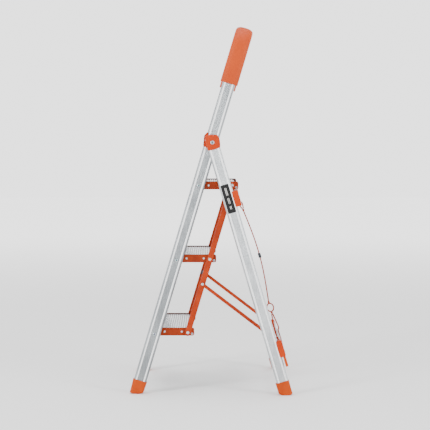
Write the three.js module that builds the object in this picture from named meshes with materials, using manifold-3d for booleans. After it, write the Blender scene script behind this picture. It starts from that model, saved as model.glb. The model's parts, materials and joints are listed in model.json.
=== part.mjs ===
// Folding three-tread step stool with a handrail: aluminium frames, an orange steel linkage
// and orange plastic feet, knuckles and grip. Millimetres. +X is the stool's right side,
// -Y its climbing side and +Z up; the floor is Z = 0 and the footprint is centred on the origin.
import * as THREE from 'three';
import { mergeVertices } from 'three/addons/utils/BufferGeometryUtils.js';
import Module from 'manifold-3d';

const wasm = await Module();
wasm.setup();

// ---- driving dimensions ----
const gap = 0.3;                       // between neighbouring pieces
const rail = { lean: 0.2995, footY: -232.2, inner: 186, width: 20, depth: 40, wall: 1.6, foot: 12 };
const leg = { lean: 0.2943, inner: 212, width: 20, depth: 38, wall: 1.6, length: 812.3, top: 14 };
const pivot = { y: 4.4, z: 779.3 };    // the knuckle bolts, about which the rear frame folds
const handrail = { crown: 1170, bend: 70, bendSteps: 7, gripFrom: 1002, gripDepth: 55, gripWidth: 32 };
const tread = { firstZ: 186.5, pitch: 230, offset: 1.2, halfWidth: 165, front: -14, rear: 114 };
const section = {
  top: 10.4, skirt: -8, wall: 2.2, lip: 8, ribs: 12, ribHeight: 1.4, ribBevel: 0.5, margin: 6,
};
const bracket = { inner: 165.4, outer: 168, front: -18, rear: 123, bottom: -10.5, top: 14.5, corner: 6 };
const platformDrop = 2.4;              // the platform hangs this much lower on its bolts
const linkBar = { reach: 103, inner: 169, outer: 177.4, width: 19, wall: 1.5, overrun: 11 };
const brace = { inner: 180.3, outer: 183.3, width: 10.4, frontZ: 339.33 };
const braceFoot = { along: 20.7, behind: 17.2 };       // from the lower crossbar, in the leg's frame
const crossbar = { upper: -185.5, lower: -667.5, front: 27, rear: 31.6, height: 41, end: 209, wall: 1.2 };
const lug = { inner: 177.9, outer: 180, flange: 160, reach: 9, bore: 2.8, start: -16, thick: 2 };
const cap = { inner: 206.6, outer: 234.6, front: 13, rear: 33, height: 49, corner: 4 };
const foot = { height: 41, half: 21.6, sole: 231, wall: 2.3, socket: 80 };
const knuckle = { boltRadius: 4, headRadius: 6.4, innerHead: 7.5, outer: 236, capInner: 209.3, reach: 60 };
knuckle.clamp = [   // [behind the rail, up from the bolt]: the back, the top, the ear, the thumb edge
  [19.5, -19], [22.2, -16], [22.2, 14], [19, 17], [-17.4, 17], [-17.6, 24.4], [-21.5, 25.4],
  [-26.4, 13.6], [-27.6, 11.5], [-22, -4], [-22, -19],
];
knuckle.cap = [     // [behind the leg, up from the bolt]
  [-19.6, -17], [-16.5, -21], [-3.5, -22.2], [14.5, -21.6], [19.6, -19], [22.4, -9], [24.2, 3], [23.4, 10.5],
  [20.6, 17.5], [10, 21.8], [-1.2, 24.6], [-10.6, 26.6], [-14.6, 24.4], [-17.4, 15.5], [-20.4, 2],
];
const bolt = { radius: 3, shoulder: 4, head: 5.5, headHeight: 2.1 };
const cord = { radius: 1.5, bulge: 12, knotRadius: 4, knotWaist: 2.6, knotHeight: 8, splay: 3.6 };
cord.knots = [[35, -238], [30, -552], [30, -586]];   // [behind, along] in the rear leg's frame

// ---- materials ----
const finish = (color, roughness, metalness) =>
  new THREE.MeshStandardMaterial({ color, roughness, metalness });
const aluminium = finish(0xc4c8cc, 0.38, 0.9);
const treadAluminium = finish(0xb4b8bc, 0.45, 0.85);
const plastic = finish(0xec6424, 0.42, 0);
const gripFoam = finish(0xde6c3a, 0.6, 0);
const steel = finish(0xc14f1e, 0.4, 0.2);
const zinc = finish(0x9a9ea4, 0.35, 0.9);
const elastic = finish(0xaf5032, 0.8, 0);
const darkPlastic = finish(0x3a3d42, 0.5, 0);

const stool = new THREE.Group();

function addPiece(parent, name, geometry, material) {
  const mesh = new THREE.Mesh(geometry, material);
  mesh.name = name;
  parent.add(mesh);
  return mesh;
}

function addFrame(parent, x, y, z, turn) {
  const frame = new THREE.Group();
  frame.position.set(x, y, z);
  frame.rotation.x = turn;
  parent.add(frame);
  return frame;
}

// A leaning tube has a frame of its own: local Z runs up the tube and local Y behind it.
const railTurn = -Math.atan(rail.lean);
const legTurn = Math.atan(leg.lean);
const railFrame = addFrame(stool, 0, rail.footY, 0, railTurn);
const legFrame = addFrame(stool, 0, pivot.y, pivot.z, legTurn);

// Place (y, z) of the stool as seen from a leaning frame.
function seenFrom(frame, y, z) {
  const point = new THREE.Vector3(0, y, z).sub(frame.position);
  return point.applyAxisAngle(new THREE.Vector3(1, 0, 0), -frame.rotation.x);
}

// ---- shapes ----
function roundedBox(y0, y1, z0, z1, radius, segments = 3) {
  const shape = new THREE.Shape();
  const corners = [[y1, z0, -90, -1, 1], [y1, z1, 0, -1, -1], [y0, z1, 90, 1, -1], [y0, z0, 180, 1, 1]];
  const points = [];
  for (const [y, z, start, sy, sz] of corners) {
    for (let i = 0; i <= segments; i += 1) {
      const angle = THREE.MathUtils.degToRad(start + (90 * i) / segments);
      points.push(new THREE.Vector2(
        y + sy * radius + radius * Math.cos(angle),
        z + sz * radius + radius * Math.sin(angle),
      ));
    }
  }
  return shape.setFromPoints(points);
}

function circleHole(y, z, radius, segments = 12) {
  const points = [];
  for (let i = 0; i < segments; i += 1) {
    const angle = (-2 * Math.PI * i) / segments;
    points.push(new THREE.Vector2(y + radius * Math.cos(angle), z + radius * Math.sin(angle)));
  }
  return new THREE.Path().setFromPoints(points);
}

const outlineShape = (points, dy = 0, dz = 0) =>
  new THREE.Shape(points.map(([y, z]) => new THREE.Vector2(y + dy, z + dz)));

// A (y, z) outline pushed along X from x0 to x1.
function plate(shape, x0, x1) {
  const geometry = new THREE.ExtrudeGeometry(shape, { depth: x1 - x0, bevelEnabled: false });
  const [y, z, x] = [new THREE.Vector3(0, 1, 0), new THREE.Vector3(0, 0, 1), new THREE.Vector3(1, 0, 0)];
  return geometry.applyMatrix4(new THREE.Matrix4().makeBasis(y, z, x).setPosition(x0, 0, 0));
}

// Turned piece about the X axis through (y, z); the profile is pairs of [x, radius].
function turned(profile, y, z, segments = 10) {
  const points = profile.map(([x, radius]) => new THREE.Vector2(radius, x));
  const geometry = new THREE.LatheGeometry(points, segments);
  return geometry.rotateZ(-Math.PI / 2).translate(0, y, z);
}

// ---- joining and cutting ----
function toSolid(geometry) {
  const bare = geometry.clone();
  bare.deleteAttribute('normal');
  bare.deleteAttribute('uv');
  const merged = mergeVertices(bare, 1e-4);
  return new wasm.Manifold(new wasm.Mesh({
    numProp: 3,
    vertProperties: Float32Array.from(merged.attributes.position.array),
    triVerts: Uint32Array.from(merged.index.array),
  }));
}

function toGeometry(solid) {
  const { vertProperties, triVerts } = solid.getMesh();
  const geometry = new THREE.BufferGeometry();
  geometry.setAttribute('position', new THREE.BufferAttribute(vertProperties, 3));
  geometry.setIndex(new THREE.BufferAttribute(triVerts, 1));
  geometry.computeVertexNormals();
  return geometry;
}

function cut(geometry, ...tools) {
  let solid = toSolid(geometry);
  for (const tool of tools) solid = solid.subtract(toSolid(tool));
  return toGeometry(solid);
}

function join(...geometries) {
  return toGeometry(geometries.map(toSolid).reduce((whole, piece) => whole.add(piece)));
}

// The same piece on both sides: the left one is the right one mirrored in X.
function mirrored(geometry) {
  const copy = geometry.index ? geometry.toNonIndexed() : geometry.clone();
  copy.scale(-1, 1, 1);
  const { array } = copy.attributes.position;
  for (let i = 0; i < array.length; i += 9) {
    for (let k = 0; k < 3; k += 1) {
      [array[i + 3 + k], array[i + 6 + k]] = [array[i + 6 + k], array[i + 3 + k]];
    }
  }
  copy.computeVertexNormals();
  return copy;
}

function addPair(parent, name, geometry, material) {
  addPiece(parent, `${name}_right`, geometry, material);
  addPiece(parent, `${name}_left`, mirrored(geometry), material);
}

// ---- the bent handrail path ----
// Up the right rail, over two bends and down the left one; its stations are where it changes.
class HandrailPath extends THREE.Curve {
  constructor(halfSpan, from, crown, bend, bendSteps) {
    super();
    this.stations = [{ x: halfSpan, z: from, angle: 90 }];
    for (const side of [1, -1]) {
      for (let i = 0; i <= bendSteps; i += 1) {
        const angle = (side > 0 ? 0 : 90) + (90 * i) / bendSteps;
        const turn = THREE.MathUtils.degToRad(angle);
        const centreX = side * (halfSpan - bend);
        const [x, z] = [centreX + bend * Math.cos(turn), crown - bend + bend * Math.sin(turn)];
        this.stations.push({ x, z, angle: angle + 90 });
      }
    }
    this.stations.push({ x: -halfSpan, z: from, angle: 270 });
  }

  getUtoTmapping(u) { return u; }

  at(t) {
    const last = this.stations.length - 1;
    return this.stations[Math.min(last, Math.round(t * last))];
  }

  getPoint(t) { return new THREE.Vector3(this.at(t).x, 0, this.at(t).z); }

  getTangent(t) {
    const turn = THREE.MathUtils.degToRad(this.at(t).angle);
    return new THREE.Vector3(Math.cos(turn), 0, Math.sin(turn));
  }
}

// The section's first axis lies across the plane of the bends, so it holds the tube's depth.
function bentTube(from, outer, inner) {
  const halfSpan = rail.inner + rail.width / 2;
  const path = new HandrailPath(halfSpan, from, handrail.crown, handrail.bend, handrail.bendSteps);
  outer.holes.push(inner);
  const steps = path.stations.length - 1;
  return new THREE.ExtrudeGeometry(outer, { steps, extrudePath: path, bevelEnabled: false });
}

const ovalSection = (width, depth, grow, radius) => roundedBox(
  -width / 2 - grow, width / 2 + grow, -depth / 2 - grow, depth / 2 + grow, radius + grow,
);

// A straight solid bar with the section of a rail or leg, used to cut pockets.
function tubeBlank(tube, grow, z0, z1) {
  const section = ovalSection(tube.width, tube.depth, grow, tube.width / 2 - 1);
  const geometry = new THREE.ExtrudeGeometry(section, { depth: z1 - z0, bevelEnabled: false });
  return geometry.translate(tube.inner + tube.width / 2, 0, z0);
}

// ---- front frame ----
const treadPivots = [0, 1, 2].map((i) => {
  const z = tread.firstZ + i * tread.pitch;
  return { y: rail.footY + rail.lean * z + tread.offset, z };
});

function frontFrame() {
  const radius = rail.width / 2 - 1;
  const outer = ovalSection(rail.depth, rail.width, 0, radius);
  const inner = ovalSection(rail.depth, rail.width, -rail.wall, radius);
  const tube = bentTube(rail.foot, outer, inner);
  const holes = [];
  for (const side of [1, -1]) {
    const [x0, x1] = side > 0 ? [rail.inner - 5, rail.inner + 25] : [-rail.inner - 25, -rail.inner + 5];
    for (const { y, z } of treadPivots) {
      const place = seenFrom(railFrame, y, z);
      const hole = bolt.radius + gap;
      holes.push(turned([[x0, 0], [x0, hole], [x1, hole], [x1, 0]], place.y, place.z));
    }
    const place = seenFrom(railFrame, pivot.y, pivot.z);
    const bore = knuckle.boltRadius + gap;
    holes.push(turned([[x0, 0], [x0, bore], [x1, bore], [x1, 0]], place.y, place.z));
  }
  addPiece(railFrame, 'front_frame_tube', cut(tube, ...holes), aluminium);
}

function handrailGrip() {
  const outer = ovalSection(handrail.gripDepth, handrail.gripWidth, 0, handrail.gripWidth / 2 - 1);
  const inner = ovalSection(rail.depth, rail.width, gap, rail.width / 2 - 1);
  addPiece(railFrame, 'handrail_grip', bentTube(handrail.gripFrom, outer, inner), gripFoam);
}

// ---- rear legs ----
function rearLegs() {
  const radius = leg.width / 2 - 1;
  const section = ovalSection(leg.width, leg.depth, 0, radius);
  section.holes.push(ovalSection(leg.width, leg.depth, -leg.wall, radius));
  const length = leg.length - rail.foot + leg.top;
  const tube = new THREE.ExtrudeGeometry(section, { depth: length, bevelEnabled: false });
  tube.translate(leg.inner + leg.width / 2, 0, leg.top - length);
  const [x0, x1, bore] = [leg.inner - 5, leg.inner + leg.width + 5, knuckle.boltRadius + gap];
  const hole = turned([[x0, 0], [x0, bore], [x1, bore], [x1, 0]], 0, 0);
  addPair(legFrame, 'rear_leg', cut(tube, hole), aluminium);
}

// ---- feet: a block with a level sole, cut by the tube that stands in it ----
function footBlock(tube, frame, side) {
  const lean = Math.atan(tube.lean);
  const halfTop = tube.depth / 2 + foot.wall + gap;
  const centreTop = side * (-rail.footY - tube.lean * foot.height);
  const [rise, run] = [halfTop * Math.sin(lean), halfTop * Math.cos(lean)];
  const outline = new THREE.Shape();
  outline.moveTo(side * (foot.sole + foot.half), 0);
  outline.lineTo(side * (foot.sole - foot.half), 0);
  outline.lineTo(centreTop - side * run, foot.height - rise);
  outline.lineTo(centreTop + side * run, foot.height + rise);
  outline.closePath();
  const [x0, x1] = [tube.inner - foot.wall - gap, tube.inner + tube.width + foot.wall + gap];
  const block = plate(outline, x0, x1);
  const start = tube === rail ? rail.foot - gap : rail.foot - leg.length - gap;
  const socket = tubeBlank(tube, gap, start, start + foot.socket);
  socket.rotateX(frame.rotation.x).translate(0, frame.position.y, frame.position.z);
  return cut(block, socket);
}

function feet() {
  addPair(stool, 'front_foot', footBlock(rail, railFrame, -1), plastic);
  addPair(stool, 'rear_foot', footBlock(leg, legFrame, 1), plastic);
}

// ---- knuckles: a clamp round the front rail and a cap over the top of the rear leg ----
function knuckles() {
  const bore = knuckle.boltRadius + gap;
  const onRail = seenFrom(railFrame, pivot.y, pivot.z);
  const [start, end] = [rail.inner - foot.wall - gap, knuckle.outer];
  const clampShape = outlineShape(knuckle.clamp, 0, onRail.z);
  clampShape.holes.push(circleHole(onRail.y, onRail.z, bore));
  const clampBlock = plate(clampShape, start, rail.inner + rail.width + foot.wall + gap);
  const clamp = cut(clampBlock, tubeBlank(rail, gap, onRail.z - knuckle.reach, onRail.z + knuckle.reach));
  addPair(railFrame, 'rail_clamp', clamp, plastic);

  const capShape = outlineShape(knuckle.cap);
  capShape.holes.push(circleHole(0, 0, bore));
  const capBlock = plate(capShape, knuckle.capInner, knuckle.outer);
  const legCap = cut(capBlock, tubeBlank(leg, gap, -knuckle.reach, leg.top + gap));
  addPair(legFrame, 'leg_cap', legCap, plastic);

  const profile = [
    [start - 2.2, 0], [start - 2.2, knuckle.innerHead - 1], [start - 1.6, knuckle.innerHead],
    [start - gap, knuckle.innerHead],
    [start - gap, knuckle.boltRadius], [end + gap, knuckle.boltRadius],
    [end + gap, knuckle.headRadius], [end + 1.4, knuckle.headRadius],
    [end + 2.4, knuckle.headRadius - 2], [end + 2.4, 0],
  ];
  addPair(railFrame, 'knuckle_bolt', turned(profile, onRail.y, onRail.z, 16), zinc);
}

// ---- treads: a ribbed channel hung between two steel brackets ----
function treadSection(drop) {
  const { wall, lip, ribs, ribHeight, ribBevel, margin } = section;
  const [top, skirt] = [section.top - drop, section.skirt - drop];
  const pitch = (tread.rear - tread.front - 2 * margin) / ribs;
  const outline = new THREE.Shape();
  outline.moveTo(tread.front, skirt);
  outline.lineTo(tread.front + wall, skirt);
  outline.lineTo(tread.front + wall, top - wall);
  outline.lineTo(tread.rear - wall, top - wall);
  outline.lineTo(tread.rear - wall, skirt + wall);
  outline.lineTo(tread.rear - lip, skirt + wall);
  outline.lineTo(tread.rear - lip, skirt);
  outline.lineTo(tread.rear, skirt);
  outline.lineTo(tread.rear, top);
  for (let i = ribs - 1; i >= 0; i -= 1) {
    const start = tread.front + margin + (i + 0.25) * pitch;
    const end = start + pitch / 2;
    outline.lineTo(end, top);
    outline.lineTo(end - ribBevel, top + ribHeight);
    outline.lineTo(start + ribBevel, top + ribHeight);
    outline.lineTo(start, top);
  }
  outline.lineTo(tread.front, top);
  outline.closePath();
  return outline;
}

function treads() {
  const names = ['lower_tread', 'middle_tread', 'platform'];
  const hole = bolt.radius + gap;
  treadPivots.forEach(({ y, z }, i) => {
    const drop = names[i] === 'platform' ? platformDrop : 0;
    const bracketShape = roundedBox(
      bracket.front, bracket.rear, bracket.bottom - drop, bracket.top - drop, bracket.corner,
    );
    bracketShape.holes.push(circleHole(0, 0, hole), circleHole(linkBar.reach, 0, hole));
    const frame = addFrame(stool, 0, y, z, 0);
    const slab = plate(treadSection(drop), -tread.halfWidth, tread.halfWidth);
    addPiece(frame, names[i], slab, treadAluminium);
    addPair(frame, `${names[i]}_bracket`, plate(bracketShape, bracket.inner, bracket.outer), steel);

    const shoulderBolt = [
      [bracket.inner + gap, 0], [bracket.inner + gap, bolt.radius], [bracket.outer + gap, bolt.radius],
      [bracket.outer + gap, bolt.shoulder], [rail.inner - gap, bolt.shoulder],
      [rail.inner - gap, bolt.radius],
      [rail.inner + rail.width + gap, bolt.radius], [rail.inner + rail.width + gap, bolt.head],
      [rail.inner + rail.width + 1.4, bolt.head], [rail.inner + rail.width + bolt.headHeight, 3.5],
      [rail.inner + rail.width + bolt.headHeight, 0],
    ];
    addPair(frame, `${names[i]}_bolt`, turned(shoulderBolt, 0, 0), zinc);

    const web = linkBar.outer - linkBar.wall;
    const linkRivet = [
      [bracket.inner + gap, 0], [bracket.inner + gap, bolt.radius], [bracket.outer + gap, bolt.radius],
      [bracket.outer + gap, 4.5], [web - gap, 4.5], [web - gap, bolt.radius],
      [linkBar.outer + gap, bolt.radius], [linkBar.outer + gap, bolt.head],
      [linkBar.outer + 1.3, bolt.head], [linkBar.outer + 2, 3.5], [linkBar.outer + 2, 0],
    ];
    addPair(frame, `${names[i]}_link_rivet`, turned(linkRivet, linkBar.reach, 0), zinc);
  });
}

// ---- link bars: pressed channels, parallel to the rails, that keep the treads level ----
function linkBars() {
  const rivets = treadPivots.map(({ y, z }) => seenFrom(railFrame, y + linkBar.reach, z));
  const centreY = rivets[0].y;
  const [z0, z1] = [rivets[0].z - linkBar.overrun, rivets[2].z + linkBar.overrun];
  const half = linkBar.width / 2;
  const shape = roundedBox(centreY - half, centreY + half, z0, z1, half - 0.5);
  for (const { y, z } of rivets) shape.holes.push(circleHole(y, z, bolt.radius + gap));
  const inset = half - linkBar.wall;
  const [foot0, head1] = [z0 + linkBar.wall, z1 - linkBar.wall];
  const trough = roundedBox(centreY - inset, centreY + inset, foot0, head1, inset - 0.5);
  const channel = cut(
    plate(shape, linkBar.inner, linkBar.outer),
    plate(trough, linkBar.inner - 5, linkBar.outer - linkBar.wall),
  );
  addPair(railFrame, 'link_bar', channel, steel);
}

// ---- crossbars, their end caps and the lugs that carry the braces ----
function crossbarShape(grow) {
  const half = crossbar.height / 2;
  return roundedBox(crossbar.front - grow, crossbar.rear + grow, -half - grow, half + grow, 1.8 + grow);
}

function crossbars() {
  for (const name of ['upper', 'lower']) {
    const frame = new THREE.Group();
    frame.position.z = crossbar[name];
    legFrame.add(frame);
    const section = crossbarShape(0);
    section.holes.push(crossbarShape(-crossbar.wall));
    addPiece(frame, `${name}_crossbar`, plate(section, -crossbar.end, crossbar.end), aluminium);

    const half = cap.height / 2;
    const block = plate(roundedBox(cap.front, cap.rear, -half, half, cap.corner), cap.inner, cap.outer);
    const saddle = tubeBlank(leg, gap, -cap.height, cap.height);
    const pocket = plate(crossbarShape(gap), cap.inner - 5, crossbar.end + gap);
    addPair(frame, `${name}_end_cap`, cut(block, saddle, pocket), plastic);
    if (name === 'lower') braceLugs(frame);
  }
}

function braceLugs(frame) {
  const { along, behind } = braceFoot;
  const back = crossbar.front - gap;
  const ear = roundedBox(behind - 6, back, along - lug.reach, along + lug.reach, 4);
  ear.holes.push(circleHole(behind, along, lug.bore));
  const flange = roundedBox(back - lug.thick, back, lug.start, along - 6, 0.5);
  const plates = join(plate(ear, lug.inner, lug.outer), plate(flange, lug.flange, lug.outer));
  addPair(frame, 'brace_lug', plates, steel);
}

// ---- braces: from a link bar down to the lower crossbar ----
function braces() {
  const up = new THREE.Vector3(0, Math.sin(-railTurn), Math.cos(railTurn));
  const firstRivet = new THREE.Vector3(0, treadPivots[0].y + linkBar.reach, treadPivots[0].z);
  const front = up.multiplyScalar((brace.frontZ - firstRivet.z) / up.z).add(firstRivet);
  const rear = new THREE.Vector3(0, braceFoot.behind, crossbar.lower + braceFoot.along);
  rear.applyAxisAngle(new THREE.Vector3(1, 0, 0), legTurn).add(legFrame.position);
  const length = front.distanceTo(rear);
  const frame = addFrame(stool, 0, rear.y, rear.z, Math.atan2(front.z - rear.z, front.y - rear.y));

  const half = brace.width / 2;
  const strip = roundedBox(-half, length + half, -half, half, half - 0.2);
  strip.holes.push(circleHole(0, 0, lug.bore), circleHole(length, 0, lug.bore));
  addPair(frame, 'brace', plate(strip, brace.inner, brace.outer), steel);

  const head = [
    [brace.outer + gap, 2.5], [brace.outer + gap, 4.6], [brace.outer + 1.4, 4.4], [brace.outer + 2.1, 2.6],
    [brace.outer + 2.1, 0],
  ];
  const tail = lug.inner - 1.6;
  const footRivet = [
    [tail, 0], [tail, 3], [tail + 0.4, 4.4], [lug.inner - gap, 4.4], [lug.inner - gap, 2.5], ...head,
  ];
  const frontRivet = [[linkBar.outer + 0.5, 0], [linkBar.outer + 0.5, 2.5], ...head];
  addPair(frame, 'brace_foot_rivet', turned(footRivet, 0, 0), zinc);
  addPair(frame, 'brace_front_rivet', turned(frontRivet, length, 0), zinc);
}

// ---- tie cord: looped round both crossbars, knotted three times, with a clip half way ----
// Every point is [behind, along] in the rear leg's frame, in the middle of the stool.
function cordTube(points, steps) {
  const path = new THREE.CatmullRomCurve3(points.map(([y, z]) => new THREE.Vector3(0, y, z)));
  const section = new THREE.Shape(Array.from({ length: 8 }, (_, i) => {
    const angle = (Math.PI * i) / 4;
    return new THREE.Vector2(cord.radius * Math.cos(angle), cord.radius * Math.sin(angle));
  }));
  return new THREE.ExtrudeGeometry(section, { steps, extrudePath: path, bevelEnabled: false });
}

// Round a crossbar and back to the knot at [y, z]; the knot is below or above the bar.
function cordLoop(barZ, [y, z]) {
  const clear = cord.radius + 0.6;
  const [front, rear] = [crossbar.front - clear, crossbar.rear + clear];
  const middle = (front + rear) / 2;
  const near = Math.sign(z - barZ);
  const [nearZ, farZ] = [barZ + near * crossbar.height / 2, barZ - near * (crossbar.height / 2 + clear)];
  return cordTube([
    [y - 1.9, z - near * 0.5], [front, nearZ + near * 8], [front, nearZ], [front, barZ],
    [front + 0.2, farZ + near * 3], [middle, farZ - near * 0.6], [rear - 0.2, farZ + near * 3],
    [rear, barZ], [rear, nearZ], [rear + cord.splay, nearZ + near * 10], [y + 1.9, z - near * 0.5],
  ], 40);
}

function knot([y, z]) {
  const half = cord.knotHeight / 2;
  const { knotRadius, knotWaist } = cord;
  const profile = [[-half, 0], [-half, knotWaist], [0, knotRadius], [half, knotWaist], [half, 0]];
  return turned(profile, 0, 0).rotateZ(Math.PI / 2).rotateX(Math.PI / 2).translate(0, y, z);
}

function tieCord() {
  const half = cord.knotHeight / 2 + gap;
  const [top, middle, bottom] = cord.knots;
  addPiece(legFrame, 'upper_cord_knot', knot(top), elastic);
  addPiece(legFrame, 'middle_cord_knot', knot(middle), elastic);
  addPiece(legFrame, 'lower_cord_knot', knot(bottom), elastic);
  addPiece(legFrame, 'upper_cord_loop', cordLoop(crossbar.upper, [top[0], top[1] + half + 1]), elastic);
  addPiece(legFrame, 'lower_cord_loop', cordLoop(crossbar.lower, [bottom[0], bottom[1] - half - 1]), elastic);

  const [start, end] = [top[1] - half, middle[1] + half];
  const points = Array.from({ length: 9 }, (_, i) => {
    const t = i / 8;
    const bulge = cord.bulge * Math.sin(Math.PI * t);
    return [top[0] + (middle[0] - top[0]) * t + bulge, start + (end - start) * t];
  });
  const [clipY, clipZ] = points[4];
  addPiece(legFrame, 'tie_cord', cordTube(points, 36), elastic);

  const reach = middle[1] - bottom[1] - 2 * half - 2 * cord.radius;
  const ring = new THREE.TorusGeometry(reach / 2, cord.radius, 8, 20).rotateY(Math.PI / 2);
  ring.translate(0, (middle[0] + bottom[0]) / 2, (middle[1] + bottom[1]) / 2);
  addPiece(legFrame, 'cord_ring', ring, elastic);

  const body = plate(roundedBox(clipY - 5, clipY + 5, clipZ - 8, clipZ + 8, 3), -6, 6);
  const bore = new THREE.CylinderGeometry(cord.radius + 1.2, cord.radius + 1.2, 40, 12);
  bore.rotateX(Math.PI / 2).translate(0, clipY, clipZ);
  addPiece(legFrame, 'cord_clip', cut(body, bore), darkPlastic);
}

frontFrame();
handrailGrip();
rearLegs();
feet();
knuckles();
treads();
linkBars();
crossbars();
braces();
tieCord();

export default stool;
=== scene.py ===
# Folding step stool with a handrail: satin aluminium frames, powder-coated orange linkage
# and moulded orange plastic. Shapes are worked out in millimetres and stored in metres.
import json
import math

import bmesh
import bpy
import numpy as np
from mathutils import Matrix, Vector


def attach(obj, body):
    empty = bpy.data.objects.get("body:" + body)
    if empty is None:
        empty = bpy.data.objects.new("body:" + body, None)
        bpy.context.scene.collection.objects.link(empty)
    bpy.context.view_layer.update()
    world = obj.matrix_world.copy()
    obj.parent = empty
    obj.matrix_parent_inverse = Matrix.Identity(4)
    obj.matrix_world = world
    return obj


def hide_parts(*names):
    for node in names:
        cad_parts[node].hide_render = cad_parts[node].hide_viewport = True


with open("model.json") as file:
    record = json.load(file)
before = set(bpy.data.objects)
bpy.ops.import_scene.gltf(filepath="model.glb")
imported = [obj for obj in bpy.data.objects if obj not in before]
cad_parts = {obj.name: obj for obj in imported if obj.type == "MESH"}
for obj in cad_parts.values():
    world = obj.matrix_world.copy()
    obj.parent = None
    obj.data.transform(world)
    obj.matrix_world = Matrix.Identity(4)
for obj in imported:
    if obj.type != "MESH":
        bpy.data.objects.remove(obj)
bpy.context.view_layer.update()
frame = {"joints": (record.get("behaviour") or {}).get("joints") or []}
mm = 0.001
joints = {joint["name"]: np.array(joint["pos_m"]) / mm for joint in frame["joints"]}
sides = {"right": 1, "left": -1}
treadNames = ["lower_tread", "middle_tread", "platform"]
treadPivots = [joints[name + "_fold"] for name in treadNames]
pivot = joints["rear_fold"]
print("frame loaded")

# A leaning tube's own axes: across the stool, behind the tube and along it, upwards.
railLean = math.atan2(treadPivots[2][1] - treadPivots[0][1], treadPivots[2][2] - treadPivots[0][2])
legLean = -math.atan(0.2943)
boltOffset = 1.2     # the tread bolts sit this far behind the middle of the rail, level
railFoot = np.array([0, treadPivots[0][1] - boltOffset - math.tan(railLean) * treadPivots[0][2], 0])


def leaning(origin, lean):
    # world = origin + across + behind * (cos, -sin) + along * (sin, cos) of the lean, in the YZ plane
    cos, sin = math.cos(lean), math.sin(lean)
    axes = np.array([[1, 0, 0], [0, cos, -sin], [0, sin, cos]])
    return lambda points: np.asarray(points, float) @ axes + origin


def unleaning(origin, lean):
    # the way back, from the world to the tube's own axes
    cos, sin = math.cos(lean), math.sin(lean)
    axes = np.array([[1, 0, 0], [0, cos, -sin], [0, sin, cos]])
    return lambda point: (np.asarray(point, float) - origin) @ axes.T


onRail, fromRail = leaning(railFoot, railLean), unleaning(railFoot, railLean)
onLeg, fromLeg = leaning(pivot, legLean), unleaning(pivot, legLean)


def level(points):
    return np.asarray(points, float)


def srgb(red, green, blue):
    # display value to linear light
    values = np.array([red, green, blue]) / 255
    return tuple(np.where(values > 0.04045, ((values + 0.055) / 1.055) ** 2.4, values / 12.92)) + (1,)


# shader maths
class Wire:
    def __init__(self, tree, socket):
        self.tree, self.socket = tree, socket

    def maths(self, operation, *values):
        return self.tree.node("Math", {"operation": operation}, dict(enumerate(values)))

    def __add__(self, other):
        return self.maths("ADD", self, other)

    __radd__ = __add__

    def __sub__(self, other):
        return self.maths("SUBTRACT", self, other)

    def __rsub__(self, other):
        return self.maths("SUBTRACT", other, self)

    def __mul__(self, other):
        return self.maths("MULTIPLY", self, other)

    __rmul__ = __mul__


class Finish:
    def __init__(self, name):
        self.material = bpy.data.materials.new(name)
        self.material.use_nodes = True
        self.nodes = self.material.node_tree.nodes
        self.shader = self.nodes["Principled BSDF"]

    def node(self, kind, settings=None, values=None, output=0):
        node = self.nodes.new("ShaderNode" + kind)
        for key, value in (settings or {}).items():
            if key == "stops":
                for i, (place, colour) in enumerate(value):
                    stop = node.color_ramp.elements[i] if i < 2 else node.color_ramp.elements.new(place)
                    stop.position, stop.color = place, colour
            else:
                setattr(node, key, value)
        for key, value in (values or {}).items():
            self.feed(node.inputs[key], value)
        return Wire(self, node.outputs[output])

    def feed(self, socket, value):
        if isinstance(value, Wire):
            self.material.node_tree.links.new(value.socket, socket)
        else:
            socket.default_value = value

    def principled(self, **values):
        for key, value in values.items():
            self.feed(self.shader.inputs[key.replace("_", " ")], value)
        return self.material

    def place(self, turn=(0, 0, 0), scale=(1, 1, 1)):
        source = self.node("TexCoord", output=3)
        return self.node("Mapping", {}, {"Vector": source, "Rotation": turn, "Scale": scale})

    def noise(self, vector, scale, detail=3.0, roughness=0.5):
        return self.node("TexNoise", {}, {"Vector": vector, "Scale": scale, "Detail": detail,
                                          "Roughness": roughness})

    def mix(self, factor, first, second):
        return self.node("Mix", {"data_type": "RGBA"}, {0: factor, 6: first, 7: second}, output=2)

    def bump(self, height, strength, distance):
        return self.node("Bump", {}, {"Height": height, "Strength": strength, "Distance": distance})

    def steps(self, value, low, high):
        return self.node("MapRange", {"interpolation_type": "SMOOTHSTEP"},
                         {0: value, 1: low, 2: high, 3: 0.0, 4: 1.0})


def satinAluminium(name, lean, light, dark, bright, roughness=0.32, stretch=(900, 900, 7)):
    # drawn metal: streaks follow the tube, soft clouds of oxide, a few handling scuffs; the
    # attribute tone is 0 on the ribbed field and the tube's edge and 1 on the polished beads,
    # which carry a painted highlight: their colour is the bright one, standing in for reflected light
    finish = Finish(name)
    tone = finish.node("Attribute", {"attribute_name": "tone"}, output=2)
    streaks = finish.noise(finish.place((lean, 0, 0), stretch), 1.0, 4.0, 0.6)
    clouds = finish.noise(finish.place(), 14.0, 4.0, 0.55)
    scuffs = finish.steps(finish.noise(finish.place((lean + 0.5, 0.3, 0), (160, 160, 22)), 1.4, 6.0, 0.7),
                          0.64, 0.74)
    grey = finish.mix(finish.steps(streaks * 0.6 + clouds * 0.4, 0.36, 0.64), dark, light)
    # painted highlight: where tone is 1 the colour turns to the bright one
    colour = finish.mix(tone, grey, bright)
    gloss = streaks * 0.16 + clouds * 0.08 + scuffs * 0.14 + (roughness - 0.12) - tone * 0.16
    return finish.principled(Base_Color=colour, Metallic=1.0, Roughness=gloss,
                             Normal=finish.bump(streaks, 0.05, 0.0002))


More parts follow.
